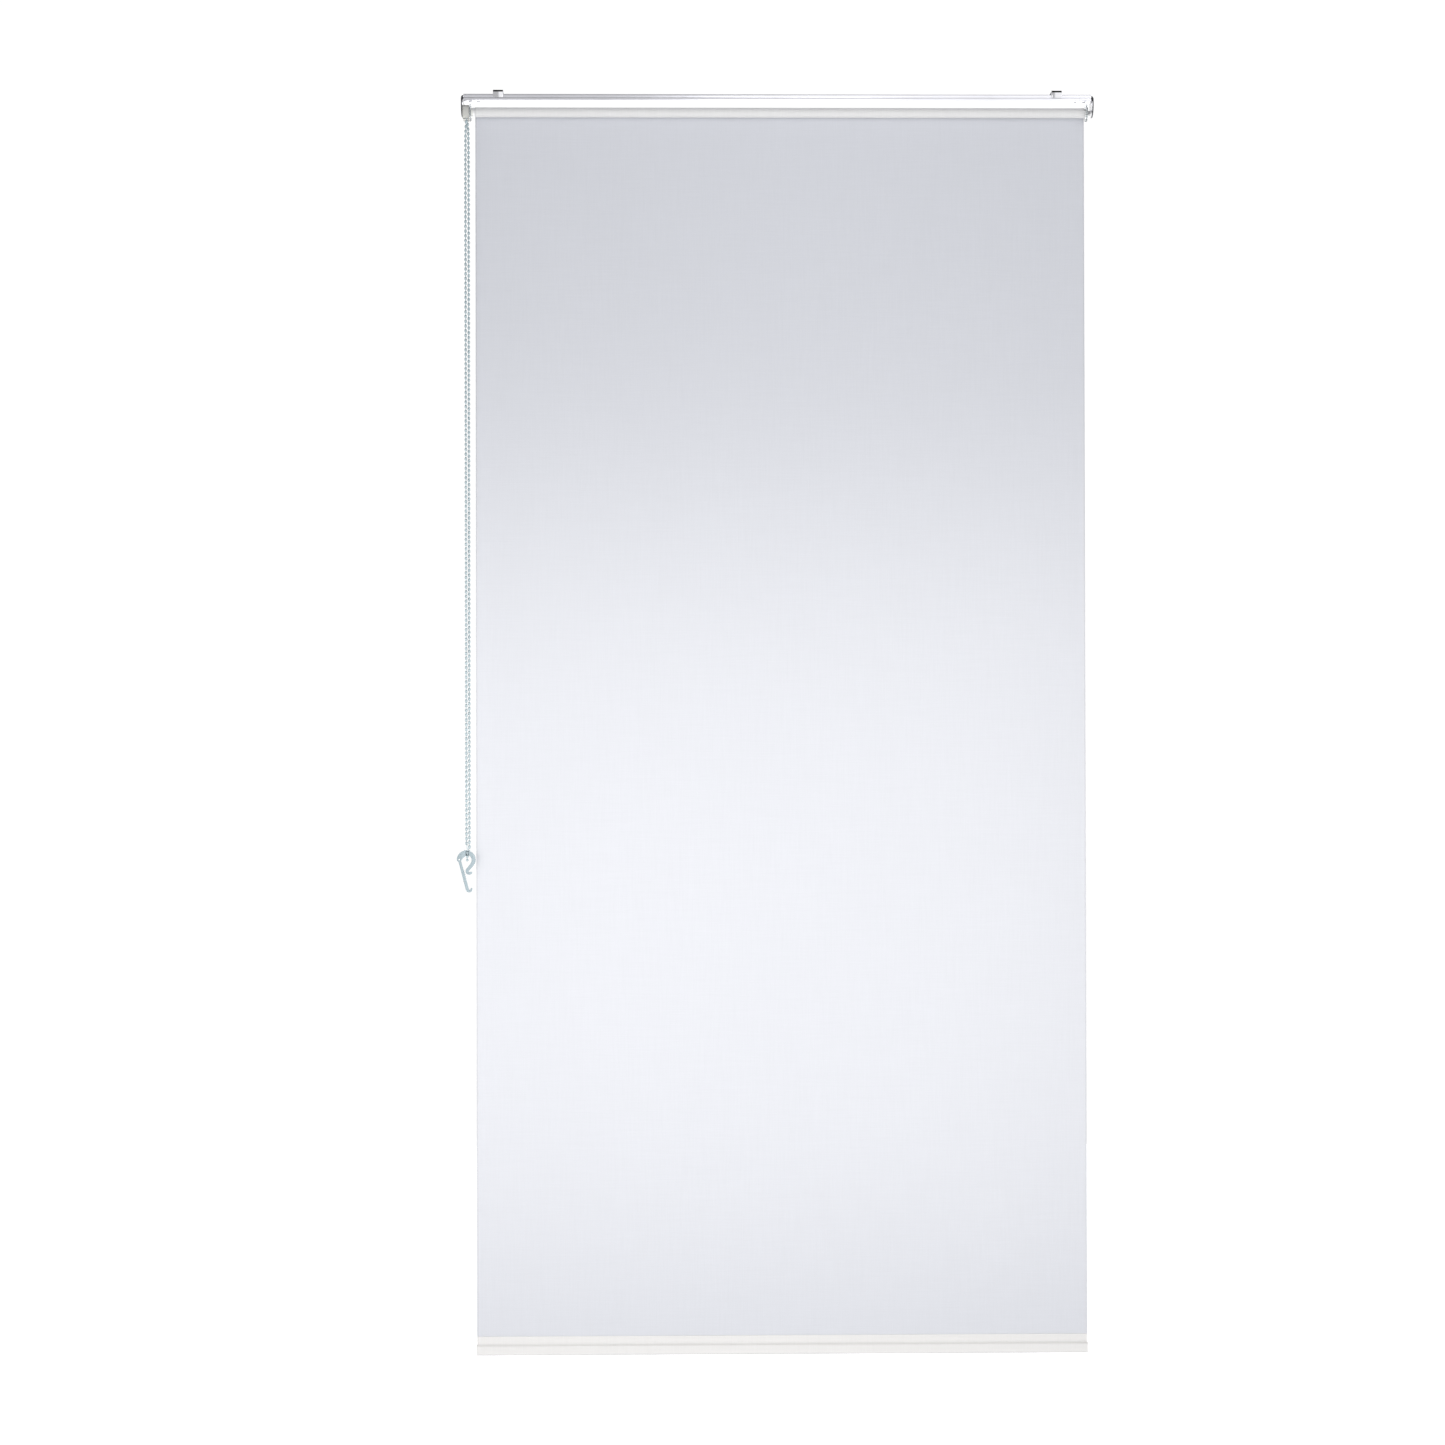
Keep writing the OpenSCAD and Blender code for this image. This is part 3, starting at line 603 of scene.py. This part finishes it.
# the sheet, its wraps on the tube, the seam's two layers and the bar's sleeve
SHEET_T = 0.38 * MM
SHEET_NX = 150
SHEET_NZ = 210


# its slack: height in units of SLACK, waves across, waves down, phase
WAVES = ((0.55, 2.2, 0.25, 0.1), (0.35, 4.6, -0.4, 0.37), (0.22, 7.9, 0.9, 0.71), (0.45, 0.35, 1.3, 0.2))
SLACK = 1.1                                  # mm
CURL, CURL_SHARE = 1.2, 0.025                # mm a side edge curls forward, and in what share of the width
PULL_AT, PULL_SIZE = (0.86, 0.955), (0.10, 0.04)    # a pucker by the hem, in shares across and down


def sheet_wave(u, v):
    """How far the hanging sheet stands off its plane at share u across and v down, in metres."""
    slack = math.sin(math.pi * min(1, v * 1.02)) ** 0.7 if 0 < v < 1 else 0.0
    wave = 0.0
    for height, across, down, phase in WAVES:
        wave += height * math.sin(math.tau * (across * u + down * v + phase))
    edge = smoothstep(1 - min(u, 1 - u) / CURL_SHARE)
    near = (math.exp(-(((u - PULL_AT[0]) / PULL_SIZE[0]) ** 2))
            * math.exp(-(((v - PULL_AT[1]) / PULL_SIZE[1]) ** 2)))
    pull = 0.7 * near * math.sin(math.tau * (9 * u + 26 * v))
    return (SLACK * slack * wave - CURL * slack * edge + pull * min(1, (1 - v) / 0.012)) * MM


def make_sheet(materials):
    """The hanging cloth, from the back of the roll down to the hem's band."""
    y_top = ROLL_HI.y - 0.2 * MM
    y_low = (SHEET_LO.y + SHEET_HI.y) / 2
    verts, faces = [], []
    for j in range(SHEET_NZ + 1):
        v = j / SHEET_NZ
        z = SHEET_HI.z + (SHEET_LO.z - SHEET_HI.z) * v
        y = y_top + (y_low - y_top) * smoothstep((SHEET_HI.z - z) / (40 * MM))
        for i in range(SHEET_NX + 1):
            u = i / SHEET_NX
            x = SHEET_LO.x + (SHEET_HI.x - SHEET_LO.x) * u
            verts.append((x, y + sheet_wave(u, v), z))
    row = SHEET_NX + 1
    for j in range(SHEET_NZ):
        for i in range(SHEET_NX):
            a = j * row + i
            faces.append((a, a + row, a + row + 1, a + 1))
    obj = add_mesh("fabric_hanging", verts, faces)
    thick = obj.modifiers.new("thickness", "SOLIDIFY")
    thick.thickness = SHEET_T
    thick.offset = 0
    apply_modifiers(obj, 50)
    return finish_piece(obj, "frame", "roll_fabric", materials["fabric"], "fabric_sheet")


WRAPS = 2.04
WRAP_STEP = 0.42 * MM
LEAVES_AT = -0.04 * math.pi      # where the sheet leaves the roll, as an angle up from straight back


def make_roll(materials):
    """Two wraps and a little more, wound as one sheet that leaves the tube at the back."""
    steps = 150
    outer = ROLL_HI.y - AXIS.y - SHEET_T / 2
    inner = outer - WRAP_STEP * WRAPS

    def centre(t):
        a = LEAVES_AT + math.tau * WRAPS * t
        r = outer + (inner - outer) * t
        return r, a

    def face_at(x, offset):
        polar = [centre(i / steps) for i in range(steps + 1)]
        return [(x, AXIS.y + (r + offset) * math.cos(a), AXIS.z + (r + offset) * math.sin(a))
                for r, a in polar]

    def loop_at(x):
        return face_at(x, SHEET_T / 2) + face_at(x, -SHEET_T / 2)[::-1]

    stations = [ROLL_LO.x + (ROLL_HI.x - ROLL_LO.x) * i / 24 for i in range(25)]
    obj = extrude_loop("fabric_wraps", loop_at, stations, True, 40)
    return finish_piece(obj, "roller", "roll_fabric", materials["roll"], "fabric_roll")


def stadium(w, h, r, steps):
    """Outline of a rounded rectangle about the origin, as (y, z) pairs."""
    points = []
    for cy, cz, a0 in ((1, 1, 0), (-1, 1, 90), (-1, -1, 180), (1, -1, 270)):
        for i in range(steps + 1):
            a = math.radians(a0 + 90 * i / steps)
            points.append((cy * (w / 2 - r) + r * math.cos(a), cz * (h / 2 - r) + r * math.sin(a)))
    return points


POCKET_H = 20 * MM
SEAM_T = 1.5 * MM
HEM_STEPS = 420
HEM_MIDDLE = Vector((0, (HEM_LO.y + HEM_HI.y) / 2, HEM_LO.z + POCKET_H / 2))
HEM_XS = [HEM_LO.x + (HEM_HI.x - HEM_LO.x) * i / HEM_STEPS for i in range(HEM_STEPS + 1)]
SLEEVE_T = 0.55 * MM
PUCKER_STEP = 6.4 * MM
PUCKER_FROM, PUCKER_RISE = 3 * MM, 6 * MM    # its start above the sleeve's middle, then to full size
BAND_LOW, BAND_HIGH = HEM_LO.z + POCKET_H - 0.8 * MM, HEM_HI.z
BAND_LEVELS = ([BAND_LOW + rise * MM for rise in (0, 1, 2, 3, 4.5)] + [(BAND_LOW + BAND_HIGH) / 2]
               + [BAND_HIGH - rise * MM for rise in (3, 2, 1, 0.3, 0)])
# half thickness at each level, as a share: it spreads over the sleeve and dips at two stitched rows
BAND_DEPTH = [3.0, 1.8, 1.15, 0.62, 0.95, 1, 0.95, 0.62, 0.9, 0.85, 0.4]
STITCHED_LEVELS = (3, 7)
STITCH, STITCH_STEP, THREAD_R = 2.3 * MM, 3.2 * MM, 0.16 * MM


def make_sleeve(pucker, material):
    """The closed sleeve round the bar, slightly puckered on its upper half."""
    wide, t = HEM_HI.y - HEM_LO.y, SLEEVE_T
    outer = stadium(wide, POCKET_H, wide / 2 - 0.1 * MM, 9)
    inner = stadium(wide - 2 * t, POCKET_H - 2 * t, wide / 2 - t - 0.1 * MM, 9)
    verts, faces = [], []
    n = len(outer)
    for x, p in zip(HEM_XS, pucker):
        for y, z in outer:
            near_seam = smoothstep((z - PUCKER_FROM) / PUCKER_RISE) if abs(y) > 1 * MM else 0.0
            shift = math.copysign(0.6 * p * near_seam, y)
            verts.append((x, HEM_MIDDLE.y + y + shift, HEM_MIDDLE.z + z))
        for y, z in inner:
            verts.append((x, HEM_MIDDLE.y + y, HEM_MIDDLE.z + z))
    for i in range(HEM_STEPS):
        a, b = i * 2 * n, (i + 1) * 2 * n
        for k in range(n):
            m = (k + 1) % n
            faces.append((a + k, b + k, b + m, a + m))
            faces.append((a + n + k, a + n + m, b + n + m, b + n + k))
    last = HEM_STEPS * 2 * n
    for k in range(n):
        m = (k + 1) % n
        faces.append((k, m, n + m, n + k))
        faces.append((last + k, last + n + k, last + n + m, last + m))
    obj = add_mesh("hem_sleeve", verts, faces, 50)
    return finish_piece(obj, "hem", "hem_fabric", material, "hem_pocket")


def make_band(pucker, material):
    """The doubled cloth above the sleeve."""

    def band_at(i):
        x, p = HEM_XS[i], pucker[i]
        half = [SEAM_T / 2 * d + p * 0.8 * (0.3 < d < 0.7) for d in BAND_DEPTH]
        front = [(x, HEM_MIDDLE.y - h, z) for h, z in zip(half, BAND_LEVELS)]
        back = [(x, HEM_MIDDLE.y + h, z) for h, z in zip(half, BAND_LEVELS)]
        return front + back[::-1]

    band = extrude_loop("hem_band", band_at, list(range(HEM_STEPS + 1)), True, 50)
    return finish_piece(band, "hem", "hem_fabric", material)


def make_stitches(material):
    """Two rows of lockstitch on each side of the band."""
    verts, faces = [], []
    x = HEM_LO.x + 3 * MM
    while x < HEM_HI.x - 4 * MM:
        for level in STITCHED_LEVELS:
            for side in (-1, 1):
                y = HEM_MIDDLE.y + side * (SEAM_T / 2 * BAND_DEPTH[level] + 0.02 * MM)
                lift = [side * THREAD_R * math.sin(math.pi * i / 4) for i in range(5)]
                path = [Vector((x + STITCH * i / 4, y + lift[i], BAND_LEVELS[level])) for i in range(5)]
                add_string(verts, faces, path, THREAD_R, 5)
        x += STITCH_STEP
    thread = add_mesh("hem_stitches", verts, faces, 60)
    return finish_piece(thread, "hem", "hem_fabric", material)


def make_hem(materials):
    """The bar's sleeve, the sewn double band above it and its stitches, as one length of cloth."""
    pucker = [0.13 * MM * math.sin(math.tau * x / PUCKER_STEP) + random.uniform(-0.05, 0.05) * MM
              for x in HEM_XS]
    return [make_sleeve(pucker, materials["hem"]), make_band(pucker, materials["hem"]),
            make_stitches(materials["thread"])]


# ---- round parts ----

DISC_BORE_R = 8.05 * MM  # as in the CAD discs
HUB_WALL = 1.4 * MM
HUB_SLOPE = 0.6 * MM     # from the hub ring's outside to the web's start
RIM_R = 1.2 * MM


def disc_profile(x0, x1, r_in, r_out):
    """Half section of an end disc: a hub ring, a thin web, and a rounded rim."""
    mid, hub, rim = (x0 + x1) / 2, r_in + HUB_WALL, r_out - RIM_R
    web = (x1 - x0) * 0.30
    half = (x1 - x0) / 2
    arc = [(mid + half * 0.92 * math.cos(a), rim + RIM_R * math.sin(a)) for a in
           [math.pi * i / 10 for i in range(11)]]
    return ([(x1, r_in), (x1, hub), (mid + web, hub + HUB_SLOPE), (mid + web, rim - RIM_R)] + arc
            + [(mid - web, rim - RIM_R), (mid - web, hub + HUB_SLOPE), (x0, hub), (x0, r_in)])


def make_disc(node, materials):
    lo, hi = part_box(node)
    r_out = (hi.z - lo.z) / 2
    obj = lathe(node + "_clear", disc_profile(lo.x, hi.x, DISC_BORE_R, r_out))
    return finish_piece(obj, "roller", "disc_clear", materials["disc"], node)


def dress_cad_nodes(materials):
    """Better finishes on the CAD nodes whose own shape is shown."""
    kept = {
        "bracket_screws": "screw", "clutch_hub": "white", "brake_spring": "wire", "hub_screw": "steel",
        "idler_pin": "steel", "idler_spring": "wire", "chain_wheel": "wheel", "drive_plug": "white",
        "idler_plug": "white", "fixing_tape": "tape", "hem_bar": "bar", "roller_tube": "tube",
        "hook_pin": "steel",
    }
    for node, look in kept.items():
        obj = frame["nodes"][node]
        obj.data.materials.clear()
        obj.data.materials.append(materials[look])


def make_hardware(materials):
    rounded_copy("head_rail", 0.25 * MM, 2, materials["rail"], "rail_aluminium")
    for end in ("left", "right"):
        rounded_copy("ceiling_clip_" + end, 0.22 * MM, 2, materials["clip"], "clip_steel")
        rounded_copy("end_bracket_" + end, 0.35 * MM, 3, materials["bracket"], "bracket_steel")
        rounded_copy("hem_cap_" + end, 0.4 * MM, 3, materials["cap"], "cap_plastic")
        make_disc("flange_disc_" + end, materials)
    rounded_copy("chain_guard", 0.25 * MM, 2, materials["guard"], "guard_plastic")


def make_hook(materials):
    hook = rounded_copy("hook_body", 0.9 * MM, 3, materials["hook"], "hook_plastic")
    arm = rounded_copy("hook_arm", 0.45 * MM, 2, materials["hook"], "hook_plastic")
    return [hook, arm, frame["nodes"]["hook_pin"]]


# ---- stage and light ----

FLOOR_SIDE = 4.0         # from its middle to its edges
FLOOR_DROP = 0.22        # below the hem


def make_floor():
    side = FLOOR_SIDE
    z = CAD_BOX[0].z - FLOOR_DROP
    corners = [(-side, -side, z), (side, -side, z), (side, side, z), (-side, side, z)]
    floor = add_mesh("floor", corners, [(0, 1, 2, 3)])
    n = Nodes("floor_pale")
    n.shade(Base_Color=(0.86, 0.86, 0.86), Roughness=0.9, Emission_Color=(1, 1, 1), Emission_Strength=0.9)
    floor.data.materials.append(n.material)


def area_light(name, place, aim, size, power, colour=(1, 1, 1)):
    data = bpy.data.lights.new(name, "AREA")
    data.shape = "RECTANGLE"
    data.size, data.size_y = size
    data.energy = power
    data.color = colour
    light = bpy.data.objects.new(name, data)
    bpy.context.scene.collection.objects.link(light)
    light.location = place
    light.rotation_mode = "QUATERNION"
    light.rotation_quaternion = (Vector(aim) - Vector(place)).to_track_quat("-Z", "Y")
    light.visible_camera = False
    return light


def make_world():
    """White where the camera looks. Everything else sees a studio: dimmer overhead, at the sides and
    low in front, brighter towards the right in front, and with a bright sweep low down behind."""
    world = bpy.data.worlds.new("studio")
    world.use_nodes = True
    bpy.context.scene.world = world
    n = Tree(world.node_tree)
    way = n.add("ShaderNodeTexCoord").outputs["Generated"]
    x, y, z = n.add("ShaderNodeSeparateXYZ", Vector=way).outputs
    front = n.math("MULTIPLY", n.remap(x, -0.035, 0.03, 0.80, 1.60), n.remap(z, -0.8, -0.1, 0.5, 1.0))
    sweep = n.math("MULTIPLY", n.remap(z, -0.85, -0.6, 0.0, 1.0), n.remap(z, 0.0, 0.15, 1.0, 0.0))
    back = n.math("ADD", 0.95, n.math("MULTIPLY", sweep, 1.3))
    behind = n.remap(y, -0.1, 0.1, 0.0, 1.0)
    around = n.math("ADD", n.math("MULTIPLY", front, n.math("SUBTRACT", 1.0, behind)),
                    n.math("MULTIPLY", back, behind))
    flags = n.remap(n.math("ABSOLUTE", x), 0.82, 0.95, 1.0, 0.45)
    overhead = n.remap(z, 0.32, 0.50, 1.0, 0.35)
    studio = n.math("MULTIPLY", n.math("MULTIPLY", around, flags), overhead)
    seen = n.add("ShaderNodeLightPath").outputs["Is Camera Ray"]
    strength = n.math("ADD", n.math("MULTIPLY", studio, n.math("SUBTRACT", 1.0, seen)),
                      n.math("MULTIPLY", seen, 1.02))
    background = n.tree.nodes["Background"]
    n.set(background, "Strength", strength)
    n.set(background, "Color", (1, 1, 1))


def make_lights():
    area_light("key_left", (-3.4, -3.0, -1.4), (0, 0, -1.4), (1.6, 2.2), 16)
    area_light("roll_middle", (0.05, -0.9, -0.1), (0.05, 0, -0.2), (0.6, 0.3), 1.2)
    area_light("roll_right", (1.5, -1.0, 0.35), (0.45, 0, -0.04), (0.3, 0.2), 1.2)
    area_light("lower_front", (-0.2, -0.45, -1.54), (-0.2, 0, -1.54), (2.2, 1.5), 8.0, (1, 0.97, 0.91))
    area_light("lower_back", (-0.15, 0.9, -1.6), (-0.15, 0, -1.6), (2.2, 1.4), 4)
    bpy.context.scene.view_settings.view_transform = "Standard"


# ---- the scene ----

make_camera()
looks = make_materials()
hook_pieces = make_hook(looks)
tail = make_chain_tail(looks)
make_chains(looks)
make_chain_arc(looks)
make_guarded_runs(looks)
make_hardware(looks)
dress_cad_nodes(looks)
roll = make_roll(looks)
hem_pieces = make_hem(looks)
sheet = make_sheet(looks)
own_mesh(sheet)
make_floor()
make_world()
make_lights()
